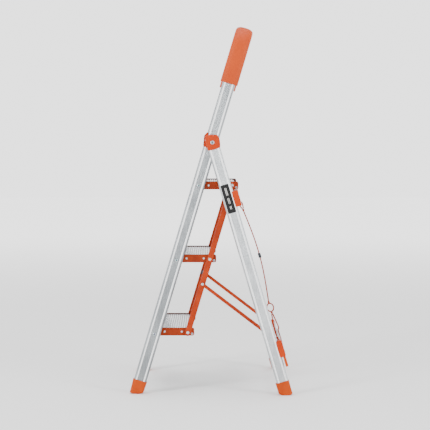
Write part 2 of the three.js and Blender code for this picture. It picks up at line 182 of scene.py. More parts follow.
def powderCoat(name, colour, deep, shadeFrom=None):
    # baked paint: orange-peel texture, slight mottling and dusty rub marks; within shadeFrom of
    # the stool's middle plane, on the inner faces, the colour is darkened to painted shade
    finish = Finish(name)
    peel = finish.noise(finish.place(), 900.0, 2.0, 0.5)
    mottle = finish.noise(finish.place(), 38.0, 4.0, 0.6)
    rubs = finish.steps(finish.noise(finish.place((0.3, 0, 0), (60, 60, 200)), 1.0, 6.0, 0.7), 0.62, 0.76)
    paint = finish.mix(finish.steps(mottle, 0.3, 0.7), deep, colour)
    wornAndShaded = finish.mix(rubs * 0.16, paint, srgb(200, 96, 30))
    if shadeFrom:
        across = finish.node("SeparateXYZ", {}, {0: finish.place()})
        away = finish.node("Math", {"operation": "ABSOLUTE"}, {0: across})
        # painted shade: the inner faces turn dark brown
        wornAndShaded = finish.mix(finish.steps(away, shadeFrom, shadeFrom - 0.0006), wornAndShaded, srgb(64, 22, 12))
    return finish.principled(Base_Color=wornAndShaded, Roughness=mottle * 0.14 + rubs * 0.12 + 0.3,
                             Normal=finish.bump(peel, 0.16, 0.0003), Specular_IOR_Level=0.16)


def mouldedPlastic(name, colour, deep, grain=1400.0, roughness=0.4):
    # moulded plastic: fine spark-eroded grain with flow marks
    finish = Finish(name)
    spark = finish.noise(finish.place(), grain, 3.0, 0.6)
    flow = finish.noise(finish.place((0, 0.2, 0), (1, 1, 0.4)), 30.0, 3.0, 0.5)
    tint = finish.mix(finish.steps(flow, 0.3, 0.72), deep, colour)
    return finish.principled(Base_Color=tint, Roughness=spark * 0.12 + flow * 0.1 + (roughness - 0.1),
                             Normal=finish.bump(spark, 0.14, 0.0003), Specular_IOR_Level=0.14)


def softGrip(name):
    # matt rubber: small pebbles with painted shade between them, polished where hands hold it
    finish = Finish(name)
    pebbles = finish.node("TexVoronoi", {"feature": "SMOOTH_F1"},
                          {"Vector": finish.place(), "Scale": 620.0, "Smoothness": 0.5})
    wear = finish.noise(finish.place((0, 0, 0), (1, 1, 0.5)), 16.0, 4.0, 0.55)
    colour = finish.mix(finish.steps(wear, 0.32, 0.7), srgb(176, 60, 0), srgb(188, 70, 2))
    shaded = finish.mix(finish.steps(pebbles, 0.35, 0.75) * 0.22, colour, srgb(150, 46, 2))
    return finish.principled(Base_Color=shaded, Roughness=0.66 - wear * 0.2, Specular_IOR_Level=0.24,
                             Normal=finish.bump(pebbles, 0.2, -0.0004))


def zincPlate(name, dull, bright):
    finish = Finish(name)
    crystals = finish.node("TexVoronoi", {}, {"Vector": finish.place(), "Scale": 420.0}, output=1)
    haze = finish.noise(finish.place(), 160.0, 4.0, 0.6)
    tone = finish.mix(haze, dull, bright)
    tinted = finish.mix(0.1, tone, crystals)
    return finish.principled(Base_Color=tinted, Metallic=1.0, Roughness=haze * 0.2 + 0.2,
                             Normal=finish.bump(haze, 0.1, 0.0002))


def braidedCord(name):
    # two families of yarns cross at a slant; U runs along the cord in metres, V round it
    finish = Finish(name)
    parts = finish.node("UVMap", {"uv_map": "UVMap"})
    along = finish.node("SeparateXYZ", {}, {0: parts}, output=0)
    around = finish.node("SeparateXYZ", {}, {0: parts}, output=1)
    yarns = []
    for slant in (1, -1):
        phase = along * (slant * 2 * math.pi * 1300) + around * (2 * math.pi * 6)
        yarns.append(finish.node("Math", {"operation": "SINE"}, {0: phase}))
    weave = finish.node("Math", {"operation": "MAXIMUM"}, {0: yarns[0], 1: yarns[1]})
    fuzz = finish.noise(finish.place(), 1500.0, 3.0, 0.7)
    # painted shade in the hollows of the weave, lighter on the yarns' crests
    shade = finish.steps(weave + fuzz * 0.4, -0.3, 1.1)
    colour = finish.mix(shade, srgb(92, 24, 6), srgb(170, 52, 12))
    return finish.principled(Base_Color=colour, Roughness=0.82, Specular_IOR_Level=0.2,
                             Normal=finish.bump(weave, 0.5, 0.0004))


def printedLabel(name):
    # black film with a faint bubble pattern
    finish = Finish(name)
    film = finish.noise(finish.place(), 120.0, 3.0, 0.5)
    tone = finish.mix(film, srgb(8, 8, 9), srgb(20, 20, 22))
    return finish.principled(Base_Color=tone, Roughness=film * 0.16 + 0.3, Specular_IOR_Level=0.25)


# rails and legs are one aluminium in two copies: the rails' copy is darker, painted shade, and the legs'
# copy lighter, painted light; the last colour of each is the painted highlight on the beads
shadedRailMetal = satinAluminium("satin_rail_shaded", railLean, srgb(160, 164, 166), srgb(124, 128, 131),
                           srgb(250, 251, 252))
litLegMetal = satinAluminium("satin_leg_lit", legLean, srgb(202, 205, 207), srgb(166, 170, 173),
                          srgb(252, 253, 254))
# the tread's bright colour is a painted highlight on the ribs' crowns
treadMetal = satinAluminium("satin_tread", 0.0, srgb(200, 201, 202), srgb(150, 153, 156),
                            srgb(216, 217, 219), 0.42, (7, 900, 900))
orangeSteel = powderCoat("orange_powder_coat", srgb(168, 52, 0), srgb(146, 40, 0))
# within 166.4 mm of the middle, on the brackets' inner faces, the coat is painted shade
bracketSteel = powderCoat("bracket_powder_coat", srgb(152, 48, 0), srgb(130, 38, 0), 0.1664)
orangePlastic = mouldedPlastic("orange_plastic", srgb(182, 54, 0), srgb(168, 46, 0))
footPlastic = mouldedPlastic("foot_plastic", srgb(186, 70, 0), srgb(172, 60, 0), 1100.0, 0.5)
darkPlastic = mouldedPlastic("dark_plastic", srgb(66, 70, 76), srgb(46, 49, 54), 1400.0, 0.46)
gripRubber = softGrip("grip_rubber")
zinc = zincPlate("zinc_plate", srgb(160, 170, 176), srgb(206, 212, 216))
# a darker copy of the zinc: painted shade for the bolts' hex sockets
shadedZinc = zincPlate("zinc_plate_painted_shade", srgb(40, 60, 70), srgb(74, 96, 106))
cordBraid = braidedCord("cord_braid")
labelFilm = printedLabel("label_film")
labelInk = mouldedPlastic("label_ink", srgb(236, 236, 232), srgb(222, 222, 218), 1400.0, 0.5)
print("finishes made")


# surfaces
def addMesh(name, vertices, faces, material, body, nodes=(), smooth=40, bevel=0, uv=None, tone=None):
    # one closed piece, given in millimetres; doubles are merged and its faces turned outwards
    mesh = bpy.data.meshes.new(name)
    mesh.from_pydata((np.asarray(vertices) * mm).tolist(), [], faces)
    if tone is not None:
        mesh.attributes.new("tone", "FLOAT", "POINT").data.foreach_set("value", np.asarray(tone, np.float32))
    if uv is not None:
        layer = mesh.uv_layers.new(name="UVMap")
        corners = np.zeros(len(mesh.loops), int)
        mesh.loops.foreach_get("vertex_index", corners)
        layer.data.foreach_set("uv", np.asarray(uv, np.float32)[corners].ravel())
    tidy = bmesh.new()
    tidy.from_mesh(mesh)
    bmesh.ops.remove_doubles(tidy, verts=tidy.verts, dist=1e-7)
    bmesh.ops.dissolve_degenerate(tidy, edges=tidy.edges, dist=1e-8)
    bmesh.ops.recalc_face_normals(tidy, faces=tidy.faces)
    tidy.to_mesh(mesh)
    tidy.free()
    mesh.shade_smooth()
    mesh.set_sharp_from_angle(angle=math.radians(smooth))
    mesh.materials.append(material)
    piece = bpy.data.objects.new(name, mesh)
    bpy.context.scene.collection.objects.link(piece)
    if bevel:
        rounding = piece.modifiers.new("rounding", "BEVEL")
        rounding.width, rounding.segments = bevel * mm, 3
        rounding.limit_method, rounding.angle_limit = "ANGLE", math.radians(40)
        rounding.harden_normals = True
    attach(piece, body)
    if nodes:
        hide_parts(*nodes)


def gridFaces(rows, columns):
    # quads of a grid that closes on itself along its columns
    i, j = np.meshgrid(np.arange(rows - 1), np.arange(columns), indexing="ij")
    k = (j + 1) % columns
    quads = np.stack([i * columns + j, i * columns + k, (i + 1) * columns + k, (i + 1) * columns + j], -1)
    return quads.reshape(-1, 4).tolist()


def skin(grid):
    # a tube of rings: grid[i, j] is point j of ring i; both ends are closed with a fan
    rows, columns, _ = grid.shape
    vertices = np.concatenate([grid.reshape(-1, 3), grid[:1].mean(1), grid[-1:].mean(1)])
    faces = gridFaces(rows, columns)
    for ring, centre in ((0, rows * columns), (rows - 1, rows * columns + 1)):
        j = np.arange(columns)
        faces += np.stack([ring * columns + j, ring * columns + (j + 1) % columns,
                           np.full(columns, centre)], -1).tolist()
    return vertices, faces


def sweep(section, middles, firstAxes, secondAxes):
    # point = middle + first * firstAxis + second * secondAxis, for every ring and section point
    return (middles[:, None, :] + section[None, :, :1] * firstAxes[:, None, :]
            + section[None, :, 1:] * secondAxes[:, None, :])


def roundedOutline(y0, y1, z0, z1, radius, steps=8):
    # a rectangle whose corners are quarter circles, anticlockwise
    turn = np.linspace(0, math.pi / 2, steps)
    corners = []
    for quarter, (y, z) in enumerate([(y1 - radius, z1 - radius), (y0 + radius, z1 - radius),
                                      (y0 + radius, z0 + radius), (y1 - radius, z0 + radius)]):
        angle = turn + quarter * math.pi / 2
        corners.append(np.stack([y + radius * np.cos(angle), z + radius * np.sin(angle)], -1))
    return np.concatenate(corners)


def plate(name, outline, x0, x1, place, material, body, nodes=(), bevel=0.5):
    # an outline in a tube's (behind, along) plane, pushed across from x0 to x1
    outline = np.asarray(outline, float)
    count = len(outline)
    rings = [np.column_stack([np.full(count, x), outline]) for x in (x0, x1)]
    faces = gridFaces(2, count) + [list(range(count))[::-1], list(range(count, 2 * count))]
    addMesh(name, place(np.concatenate(rings)), faces, material, body, nodes, bevel=bevel)


def turned(name, profile, centre, place, material, body, nodes=(), around=32, side=1):
    # a profile of (across, radius) turned about the line through centre = (behind, along)
    profile = np.asarray(profile, float)
    angle = np.linspace(0, 2 * math.pi, around, endpoint=False)
    across = np.repeat(profile[:, :1] * side, around, 1)
    behind = centre[0] + profile[:, 1:] * np.cos(angle)
    along = centre[1] + profile[:, 1:] * np.sin(angle)
    vertices, faces = skin(place(np.stack([across, behind, along], -1)))
    addMesh(name, vertices, faces, material, body, nodes, 35)


def domeProfile(x, radius, height, edge=0.6):
    # a button head on the plane x: a short wall, then a quarter ellipse to the middle
    t = np.linspace(0, math.pi / 2, 9)
    dome = np.column_stack([x + edge + (height - edge) * np.sin(t), radius * np.cos(t)])
    return np.concatenate([[[x, radius]], dome])


# tubes: a flat oval with a ribbed face on each side
rail = {"inner": 186, "width": 20, "depth": 40, "start": 12, "crown": 1170, "bend": 70}
leg = {"inner": 212, "width": 20, "depth": 38, "start": -800.3, "end": 14}
ribs = {"field": 9.6, "pitch": 1.92, "rise": 0.26, "recess": 0.6, "bead": 4.6}


def tubeSection(width, depth):
    # across(d) = flat - recess + rise * cos on the ribbed field, then a bead of half a sine that
    # stands up to the full width, then a quarter of a superellipse down to the tube's edge
    half, field, bead = width / 2, ribs["field"], ribs["bead"]
    d = np.linspace(-field, field, 111)
    ribbed = half - ribs["recess"] + ribs["rise"] * np.cos(2 * math.pi * d / ribs["pitch"])
    t = np.linspace(0, 1, 12)[1:]
    beadAcross = half - ribs["recess"] + (ribs["recess"] + 0.1) * np.sin(math.pi * np.minimum(t, 0.62))
    beadDepth = field + bead * t
    s = np.linspace(0, math.pi / 2, 18)[1:]
    edgeAcross = beadAcross[-1] * np.cos(s) ** 0.86
    edgeDepth = field + bead + (depth / 2 - field - bead) * np.sin(s)
    upper = np.concatenate([ribbed, beadAcross, edgeAcross])
    deep = np.concatenate([d, beadDepth, edgeDepth])
    lowerAcross = np.concatenate([beadAcross, edgeAcross[:-1]])[::-1]
    lowerDepth = -np.concatenate([beadDepth, edgeDepth[:-1]])[::-1]
    faceAcross, faceDepth = np.concatenate([lowerAcross, upper]), np.concatenate([lowerDepth, deep])
    other = np.stack([-faceAcross, faceDepth], -1)[::-1][1:]
    return np.concatenate([np.stack([faceAcross, faceDepth], -1), other])


def tubeHighlight(section, rings):
    # 1 between the inner and outer edge of a bead, where the colour is a painted highlight, 0 on the ribbed
    # field and on the tube's edge
    depth = np.abs(section[:, 1]) - ribs["field"]
    tone = np.clip(np.minimum((depth + 0.2) / 0.5, (ribs["bead"] + 0.5 - depth) / 1.2), 0, 1)
    return np.concatenate([np.tile(tone, rings), [0, 0]])


def handrailStations(start, steps=18):
    # up one side, two quarter bends and down the other; the outward axis turns with the bend
    halfSpan = rail["inner"] + rail["width"] / 2
    turn = np.concatenate([[0], np.linspace(0, math.pi / 2, steps),
                           np.linspace(math.pi / 2, math.pi, steps), [math.pi]])
    reach = halfSpan - rail["bend"]
    centre = np.concatenate([np.full(steps + 1, reach), np.full(steps + 1, -reach)])
    across = centre + rail["bend"] * np.cos(turn)
    along = rail["crown"] - rail["bend"] + rail["bend"] * np.sin(turn)
    along[[0, -1]] = start
    middles = np.stack([across, np.zeros_like(across), along], -1)
    outward = np.stack([np.cos(turn), np.zeros_like(turn), np.sin(turn)], -1)
    return middles, outward, np.tile([0, 1, 0], (len(turn), 1))


def frontFrame():
    section = tubeSection(rail["width"], rail["depth"])
    grid = onRail(sweep(section, *handrailStations(rail["start"])))
    vertices, faces = skin(grid)
    addMesh("front_frame_tube_skin", vertices, faces, shadedRailMetal, "front_frame", ["front_frame_tube"],
            tone=tubeHighlight(section, len(grid)))


def rearLegs():
    section = tubeSection(leg["width"], leg["depth"])
    for word, side in sides.items():
        x = side * (leg["inner"] + leg["width"] / 2)
        along = np.array([leg["start"], leg["start"] / 2, leg["end"]])
        middles = np.stack([np.full(3, x), np.zeros(3), along], -1)
        grid = sweep(section, middles, np.tile([1, 0, 0], (3, 1)), np.tile([0, 1, 0], (3, 1)))
        vertices, faces = skin(onLeg(grid))
        addMesh(f"rear_leg_{word}_skin", vertices, faces, litLegMetal, "rear_frame", [f"rear_leg_{word}"],
                tone=tubeHighlight(section, len(grid)))


grip = {"start": 1002.2, "width": 31.6, "depth": 54.8, "body": 0.992, "roundness": 2.7,
        "groovesFrom": 0.62, "grooveDepth": 0.016, "grooves": 64,
        "lip": ((0, 0.95), (0.8, 0.985), (2.0, 1.0), (6.0, 1.0), (6.8, 0.996), (8.5, 0.992))}


def handrailGrip():
    # the section is a superellipse; its front carries fine lengthwise grooves, and both ends a lip
    angle = np.linspace(0, 2 * math.pi, 160, endpoint=False)
    cos, sin = np.cos(angle), np.sin(angle)
    power = 2 / grip["roundness"]
    across = grip["width"] / 2 * np.sign(cos) * np.abs(cos) ** power
    behind = grip["depth"] / 2 * np.sign(sin) * np.abs(sin) ** power
    front = np.clip((-behind / (grip["depth"] / 2) - grip["groovesFrom"]) / 0.1, 0, 1)
    groove = 1 - grip["grooveDepth"] * front * (0.5 + 0.5 * np.cos(angle * grip["grooves"]))
    section = np.stack([across * groove, behind * groove], -1)
    middles, outward, _ = handrailStations(grip["start"], 26)
    lipAlong, lipGrow = np.array(grip["lip"]).T
    rings, scales = [], []
    for end, direction in ((0, 1), (-1, -1)):
        ring = np.repeat(middles[end][None], len(lipAlong), 0)
        ring[:, 2] += lipAlong
        rings.append(ring[::direction])
        scales.append(lipGrow[::direction])
    body = middles[1:-1]
    allMiddles = np.concatenate([rings[0], body, rings[1]])
    count = len(lipAlong)
    allOutward = np.concatenate([np.repeat(outward[:1], count, 0), outward[1:-1],
                                 np.repeat(outward[-1:], count, 0)])
    allScales = np.concatenate([scales[0], np.full(len(body), grip["body"]), scales[1]])
    rearward = np.tile([0, 1, 0], (len(allMiddles), 1))
    grid = sweep(section, allMiddles, allOutward * allScales[:, None], rearward * allScales[:, None])
    vertices, faces = skin(onRail(grid))
    addMesh("handrail_grip_skin", vertices, faces, gripRubber, "front_frame", ["handrail_grip"], smooth=50)


frontFrame()
rearLegs()
handrailGrip()
print("tubes and grip made")

# feet: a loft from the tube's collar down to a level, wider sole
foot = {"height": 41, "half": 21.6, "sole": 231, "topY": 232.2, "wall": 2.3, "rows": 26, "rocker": 4.2,
        "roundness": 5.5, "dimple": 0.5, "panel": 0.7, "knurls": 26,
        "shrink": ((0, 1.2), (0.012, 0.5), (0.03, 0.15), (0.06, 0), (0.97, 0), (0.99, 0.25), (1, 0.7))}


def footLoft(tube, lean, centreSide, name, body):
    # point = sole line + (collar line - sole line) * share: rings of a rounded rectangle go from the
    # level sole to a collar square to the tube, pulled in where shrink, the knurled dimple or the
    # sunk side panel says; the sole's toe and heel rise a little
    halfTop = tube["depth"] / 2 + foot["wall"]
    halfAcross = tube["width"] / 2 + foot["wall"]
    middleX = tube["inner"] + tube["width"] / 2
    share = np.concatenate([[0, 0.012, 0.03, 0.06], np.linspace(0.1, 0.97, foot["rows"]), [0.99, 1.0]])
    angle = np.linspace(0, 2 * math.pi, 96, endpoint=False)
    cos, sin = np.cos(angle), np.sin(angle)
    power = 2 / foot["roundness"]
    unitAcross = np.sign(cos) * np.abs(cos) ** power
    unitBehind = np.sign(sin) * np.abs(sin) ** power
    inset = np.interp(share, *np.array(foot["shrink"]).T)[:, None]
    dimple = foot["dimple"] * np.exp(-((share - 0.13) / 0.035) ** 2)[:, None]
    panel = foot["panel"] * np.clip(np.minimum((share - 0.26) / 0.04, (0.86 - share) / 0.04), 0, 1)[:, None]
    knurl = 0.5 + 0.5 * np.cos(angle * foot["knurls"])
    inFace = (np.abs(unitBehind) < 0.78) * (np.abs(cos) > 0.2)
    topY = centreSide * (foot["topY"] - math.tan(abs(lean)) * foot["height"])
    keep = 1 - inset / foot["half"]
    soleLine = centreSide * foot["sole"] + foot["half"] * unitBehind * keep
    collarLine = topY + halfTop * unitBehind * math.cos(lean) * keep
    collarZ = foot["height"] - halfTop * unitBehind * math.sin(lean)
    rocker = foot["rocker"] * np.abs(unitBehind) ** 3.2
    share = share[:, None]
    across = middleX + unitAcross * (halfAcross - inset - dimple * knurl) - np.sign(cos) * panel * inFace
    grid = np.stack([across, soleLine + (collarLine - soleLine) * share,
                     rocker + (collarZ - rocker) * share], -1)
    for word, side in sides.items():
        vertices, faces = skin(grid * np.array([side, 1, 1]))
        addMesh(f"{name}_{word}_skin", vertices, faces, footPlastic, body, [f"{name}_{word}"], smooth=38)


footLoft(rail, railLean, -1, "front_foot", "front_frame")
footLoft(leg, legLean, 1, "rear_foot", "rear_frame")
print("feet made")

# knuckles
knuckle = {"clampInner": 183.6, "clampOuter": 208.7, "capInner": 209.5, "capOuter": 235.6,
           "ribs": 5, "ribDepth": 2.0, "boltInner": 181.2, "boltOuter": 238.3,
           "thumb": ((-21.9, -17), (-27.4, 11.6)),
           "ear": ((-27.0, 13.2), (-24.2, 19.5), (-21.4, 25.0), (-19.4, 25.4), (-17.8, 24.2), (-17.4, 19.5)),
           "back": ((-16.6, 17.2), (18.8, 17.2), (21.4, 15.8), (22.2, 13.8), (22.2, -16), (21.4, -18.2),
                    (19.4, -19), (-20.6, -19.2)),
           "cap": ((-19.6, -17), (-16.5, -21), (-3.5, -22.2), (14.5, -21.6), (19.6, -19), (22.4, -9),
                   (24.2, 3), (23.4, 10.5), (20.6, 17.5), (10, 21.8), (-1.2, 24.6), (-10.6, 26.6),
                   (-14.6, 24.4), (-17.4, 15.5), (-20.4, 2))}
# layers are (across, inset) and profiles (across, radius); across counts from the plane named
capFace = ((-4.4, 0), (-3.0, 0.25), (-1.9, 0.9), (-1.2, 2.0), (-0.9, 3.4), (-0.9, 5.2), (-0.3, 5.9),
           (-0.2, 7.5))
capBoss = ((-1.6, 9.6), (-0.3, 9.3), (0.1, 8.6), (0.1, 7.0))
boltTail = ((0, 3.0), (0, 5.6), (0.5, 7.0), (1.8, 7.4), (2.0, 4))
boltHead = ((-2.2, 4), (-2.2, 6.1), (-1.5, 6.3), (-0.5, 5.9), (-0.1, 4.9), (-0.4, 3.9), (-1.4, 3.4),
            (-1.5, 1.2))
# the socket is a dark zinc disc: painted shade in the hex recess
boltSocket = ((-1.6, 3.3), (-1.3, 3.2), (-1.25, 1.0))


def fromPlane(profile, x):
    # moves a profile across the stool, to the plane x
    return (np.array(profile) + [x, 0]).tolist()


def catmullRom(a, b, c, d, t):
    # the cubic from b to c whose slopes are (c - a) / 2 and (d - b) / 2
    return 0.5 * (2 * b + (c - a) * t + (2 * a - 5 * b + 4 * c - d) * t ** 2
                  + (3 * b - a - 3 * c + d) * t ** 3)


def smoothClosed(points, steps=8):
    # a closed Catmull-Rom curve through the points
    points = np.asarray(points, float)
    t = np.linspace(0, 1, steps, endpoint=False)[None, :, None]
    a, b, c, d = (np.roll(points, shift, 0)[:, None, :] for shift in (1, 0, -1, -2))
    return catmullRom(a, b, c, d, t).reshape(-1, 2)


def cushionPlate(name, outline, layers, place, material, body, nodes, side):
    # a stack of the same outline: each layer is (across, inset), the inset pulling it to the middle
    outline = np.asarray(outline, float)
    middle = outline.mean(0)
    reach = np.abs(outline - middle).max()
    rings = []
    for across, inset in layers:
        ring = middle + (outline - middle) * (1 - inset / reach)
        rings.append(np.column_stack([np.full(len(ring), across * side), ring]))
    vertices, faces = skin(place(np.stack(rings)))
    addMesh(name, vertices, faces, material, body, nodes, 32)


def knuckles():
    onRailPivot = fromRail(pivot)[1:]
    for word, side in sides.items():
        # the thumb edge runs straight between two corners and carries half-sine ribs
        t = np.linspace(0, 1, 90)[:, None]
        low, high = np.array(knuckle["thumb"], float)
        edge = low + (high - low) * t
        across = np.array([-(high - low)[1], (high - low)[0]]) / np.linalg.norm(high - low)
        tooth = np.abs(np.sin(math.pi * knuckle["ribs"] * t)) ** 0.8 - 1
        front = edge + across * knuckle["ribDepth"] * tooth
        ear = smoothClosed(knuckle["ear"], 5)[:-5]
        outline = np.concatenate([front, ear, knuckle["back"]]) + [0, onRailPivot[1]]
        inner, outer = knuckle["clampInner"], knuckle["clampOuter"]
        layers = [(inner, 1.4), (inner + 0.4, 0.5), (inner + 1.6, 0), (outer - 1.6, 0), (outer - 0.4, 0.5),
                  (outer, 1.4)]
        cushionPlate(f"rail_clamp_{word}_skin", outline, layers, onRail, orangePlastic, "front_frame",
                     [f"rail_clamp_{word}"], side)
        inner, outer = knuckle["capInner"], knuckle["capOuter"]
        layers = [(inner, 1.4), (inner + 0.5, 0.4), (inner + 1.6, 0)] + fromPlane(capFace, outer)
        cushionPlate(f"leg_cap_{word}_skin", smoothClosed(knuckle["cap"]), layers, onLeg, orangePlastic,
                     "rear_frame", [f"leg_cap_{word}"], side)
        turned(f"cap_boss_{word}", fromPlane(capBoss, outer), (0, 0), onLeg, orangePlastic, "rear_frame",
               around=48, side=side)

        inner, outer = knuckle["boltInner"], knuckle["boltOuter"]
        turned(f"knuckle_bolt_{word}_skin", fromPlane(boltTail, inner) + fromPlane(boltHead, outer),
               onRailPivot, onRail, zinc, "front_frame", [f"knuckle_bolt_{word}"], 48, side)
        turned(f"bolt_socket_{word}", fromPlane(boltSocket, outer), onRailPivot, onRail, shadedZinc,
               "front_frame", around=6, side=side)


knuckles()
print("knuckles made")

# treads, brackets and their fasteners
platformDrop = 2.4     # the platform hangs this much lower on its bolts
tread = {"half": 165, "front": -14, "rear": 114, "top": 11.8, "skirt": -8, "wall": 2.2, "ribs": 17,
         "ribHeight": 1.3, "margin": 5}
bracket = {"inner": 165.4, "outer": 168, "front": -18, "rear": 123, "bottom": -10.5, "top": 14.5,
           "corner": 5.5, "rivets": (30, 84), "reach": 103}


def treadOutline(drop):
    # the top is a row of trapezoid ribs; below it the channel's skirts end in small turned lips
    base = tread["top"] - drop - tread["ribHeight"]
    pitch = (tread["rear"] - tread["front"] - 2 * tread["margin"]) / tread["ribs"]
    start = tread["front"] + tread["margin"] + pitch * np.arange(tread["ribs"])[:, None]
    across = (start + pitch * np.array([0.12, 0.26, 0.62, 0.76])).ravel()
    height = np.tile([base, base + tread["ribHeight"], base + tread["ribHeight"], base], tread["ribs"])
    top = np.column_stack([across, height])
    wall, front, rear, skirt = tread["wall"], tread["front"], tread["rear"], tread["skirt"] - drop
    under = [[rear - 2, base], [rear - 0.6, base - 0.6], [rear, base - 2], [rear, skirt + 0.6],
             [rear - 0.6, skirt], [rear - 8, skirt], [rear - 8, skirt + wall], [rear - wall, skirt + wall],
             [rear - wall, base - wall], [front + wall, base - wall], [front + wall, skirt + wall],
             [front + 7, skirt + wall], [front + 7, skirt], [front + 0.6, skirt], [front, skirt + 0.6],
             [front, base - 2], [front + 0.6, base - 0.6], [front + 2, base]]
    return np.concatenate([top, under])


def ribbedTread(name, centre, drop):
    outline = treadOutline(drop) + centre
    count = len(outline)
    # the ribs' crowns get tone 1: a painted highlight on their tops
    crown = outline[:, 1] > outline[:, 1].max() - 0.1
    rings = [np.column_stack([np.full(count, x), outline]) for x in (-tread["half"], tread["half"])]
    faces = gridFaces(2, count) + [list(range(count))[::-1], list(range(count, 2 * count))]
    addMesh(name + "_skin", np.concatenate(rings), faces, treadMetal, name, [name], 30,
            tone=np.tile(crown * 0.9 + 0.1, 2))


# fasteners, as (across, radius) profiles
shoulderBolt = [[165.7, 1.5], [165.7, 3], [168.3, 3], [168.3, 4], [185.7, 4], [185.7, 3], [206.1, 3],
                [206.1, 5.2], [206.7, 5.3], [207.5, 5.0], [208.0, 4.2], [208.1, 3.4], [206.9, 3.0],
                [206.8, 1.2]]
# a dark zinc disc in the tread bolts' hex recess: painted shade
hexRecess = [[206.6, 2.9], [206.95, 2.8], [207.0, 0.9]]
linkShank = [[165.7, 1.5], [165.7, 3], [168.3, 3], [168.3, 4.5], [175.6, 4.5], [175.6, 3]]
cornerEyelet = [[167.8, 3.4], [168.1, 3.4], [168.28, 2.9], [168.28, 2.2], [168.05, 1.9], [168.05, 0.6]]
# a dark disc in the eyelet: painted shade for its hole
eyeletHoleShade = [[167.9, 1.7], [168.2, 1.6], [168.2, 0.5]]


def treadSet(name, point):
    centre = point[1:]
    drop = platformDrop if name == "platform" else 0
    ribbedTread(name, centre, drop)
    rivetHead = domeProfile(bracket["outer"] - 0.1, 3.2, 0.95, 0.35)
    corner = centre + [bracket["rear"] - 7, bracket["bottom"] - drop + 6]
    for word, side in sides.items():
        outline = roundedOutline(bracket["front"], bracket["rear"], bracket["bottom"] - drop,
                                 bracket["top"] - drop, bracket["corner"])
        plate(f"{name}_bracket_{word}_skin", outline + centre, side * bracket["inner"],
              side * bracket["outer"], level, bracketSteel, name, [f"{name}_bracket_{word}"], bevel=0.6)
        for i, y in enumerate(bracket["rivets"]):
            turned(f"{name}_tread_rivet_{i + 1}_{word}", rivetHead, centre + [y, 2.0 - drop], level, zinc,
                   name, side=side, around=24)
        turned(f"{name}_eyelet_{word}", cornerEyelet, corner, level, zinc, name, side=side, around=24)
        turned(f"{name}_eyelet_hole_shade_{word}", eyeletHoleShade, corner, level, darkPlastic, name, side=side,
               around=16)
        turned(f"{name}_bolt_{word}_skin", shoulderBolt, centre, level, zinc, "front_frame",
               [f"{name}_bolt_{word}"], 32, side)
        turned(f"{name}_bolt_socket_{word}", hexRecess, centre, level, shadedZinc, "front_frame", around=6,
               side=side)
        linkRivet = np.concatenate([linkShank, domeProfile(177.5, 4.7, 1.7)])
        turned(f"{name}_link_rivet_{word}_skin", linkRivet, centre + [bracket["reach"], 0], level, zinc,
               "link_bars", [f"{name}_link_rivet_{word}"], 32, side)


for treadName, treadPoint in zip(treadNames, treadPivots):
    treadSet(treadName, treadPoint)
print("treads made")

# link bars and braces
linkBar = {"inner": 169, "outer": 177.4, "width": 18, "wall": 1.5, "overrun": 10.6}
brace = {"inner": 180.3, "outer": 183.3, "width": 10.4, "frontZ": 339.33,
         "footShank": ((176.3, 3.0), (176.5, 4.2), (177.5, 4.4), (177.5, 2.5)),
         "frontShank": ((177.9, 1.5), (177.9, 2.5), (179.9, 2.5)),
         "bush": ((169.3, 7.0), (168.8, 7.8), (168.5, 7.6), (168.4, 7.0), (168.35, 3.0)),
         "seat": ((-0.85, 5.0), (-0.1, 4.9), (0.05, 4.6))}


def dishedBar(name, outline, place, layers, material, body, nodes, side):
    # rings of one outline, each (across, inset): point = outline + its inward normal * inset
    step = outline - np.roll(outline, 1, 0)
    after = np.roll(outline, -1, 0) - outline
    normal = step / np.linalg.norm(step, axis=1)[:, None] + after / np.linalg.norm(after, axis=1)[:, None]
    normal = np.column_stack([-normal[:, 1], normal[:, 0]])
    normal /= np.linalg.norm(normal, axis=1)[:, None]
    grid = []
    for across, inset in layers:
        grid.append(np.column_stack([np.full(len(outline), across * side), outline + normal * inset]))
    vertices, faces = skin(place(np.stack(grid)))
    addMesh(name, vertices, faces, material, body, nodes, 35)


def linkBars():
    ends = [fromRail(point + [0, bracket["reach"], 0])[1:] for point in (treadPivots[0], treadPivots[2])]
    half = linkBar["width"] / 2
    outline = roundedOutline(ends[0][0] - half, ends[0][0] + half, ends[0][1] - linkBar["overrun"],
                             ends[1][1] + linkBar["overrun"], half - 0.3, 14)
    outer, inner, wall = linkBar["outer"], linkBar["inner"], linkBar["wall"]
    layers = [(outer - wall, wall + 1.8), (outer - wall - 0.3, wall + 0.3), (outer - wall - 1.2, wall),
              (inner, wall), (inner, 0), (outer - 1.4, 0), (outer - 0.6, 0.25), (outer - 0.1, 1.0),
              (outer, 1.8)]
    for word, side in sides.items():
        dishedBar(f"link_bar_{word}_skin", outline, onRail, layers, orangeSteel, "link_bars",
                  [f"link_bar_{word}"], side)


